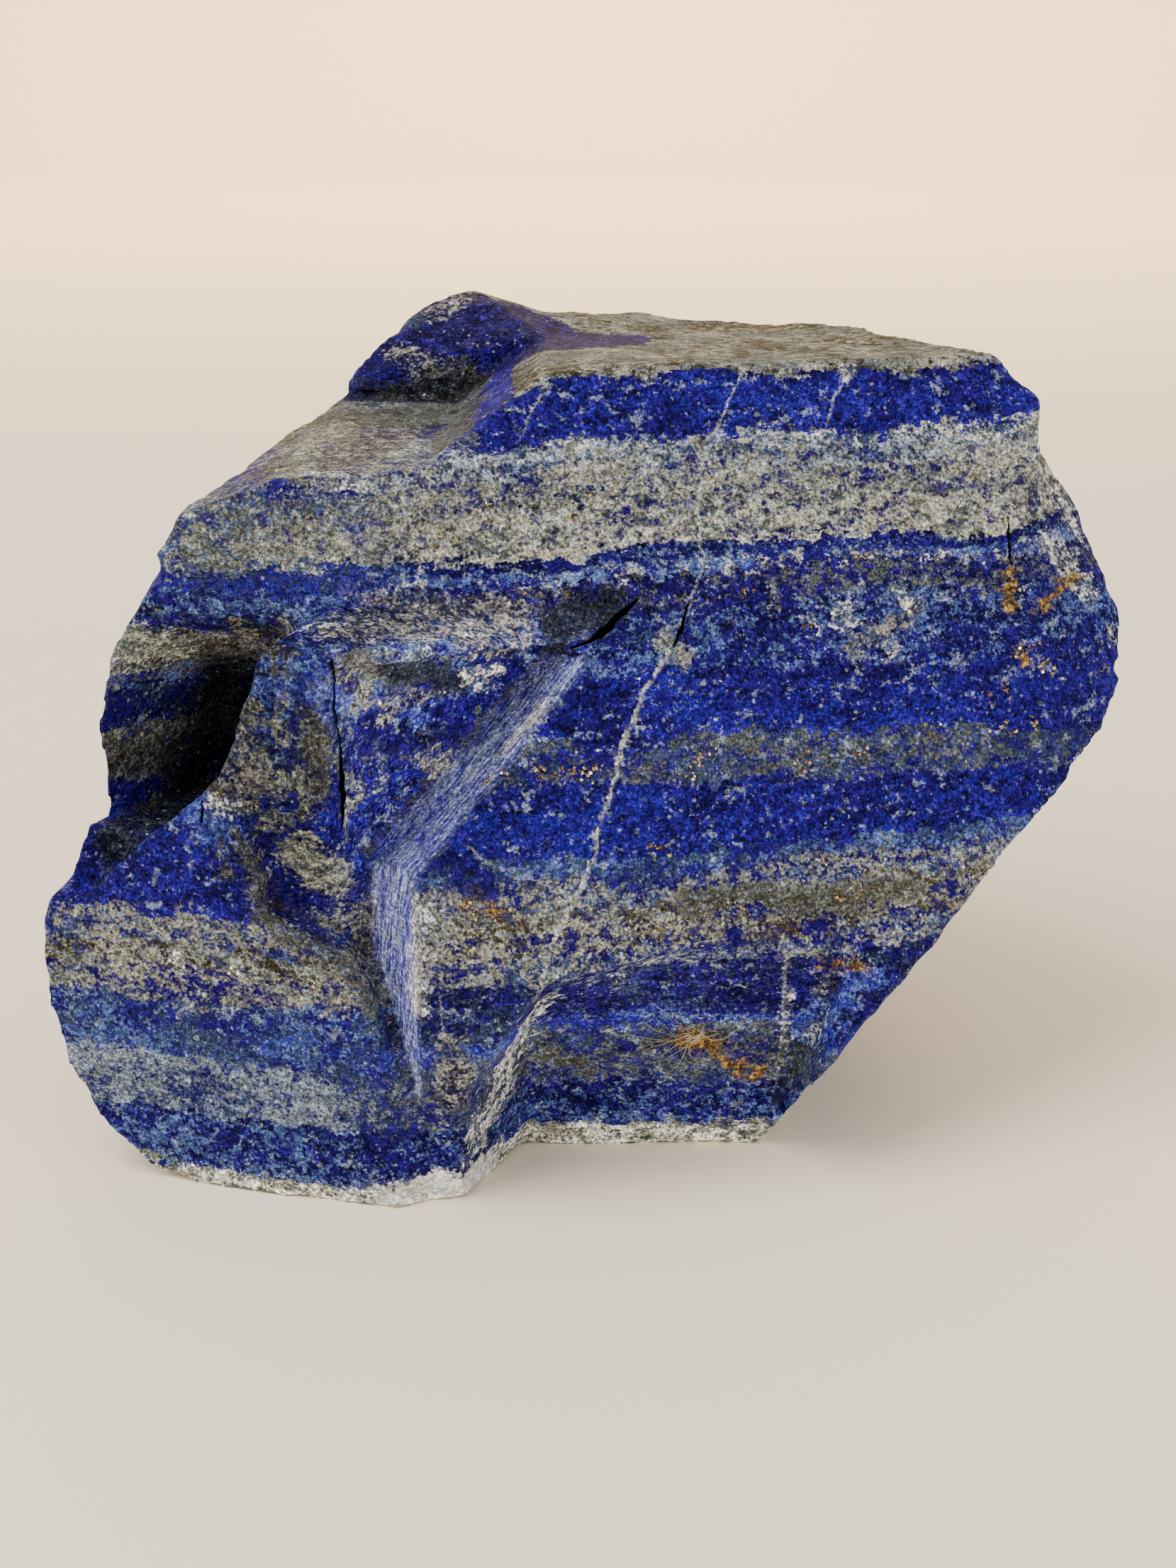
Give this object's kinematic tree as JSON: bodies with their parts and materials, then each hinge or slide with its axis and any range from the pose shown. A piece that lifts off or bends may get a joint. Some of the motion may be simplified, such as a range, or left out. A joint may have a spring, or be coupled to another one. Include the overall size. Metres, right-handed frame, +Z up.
{
  "type": "lapis lazuli specimen",
  "caption": "Broken block of banded lapis lazuli resting on a flat parting face, with a leaning front break, a stepped top, a groove and hollows broken out of the front.",
  "frame": {"origin": "under the middle of the bounding box, on the surface the stone rests on", "axes": "+Z up, across the layers; +X along the longest side; -Y out of the broken front"},
  "size_m": [0.1044, 0.0812, 0.078],
  "materials": {
    "lapis": "fine granular fracture, deep blue in flat bands with grey, beige and white layers",
    "pyrite": "tiny bright golden crystals, metallic",
    "fibre": "fine pale textile lint caught on the rust spot"
  },
  "bodies": {
    "root": {"stone": "lapis"}
  },
  "joints": []
}
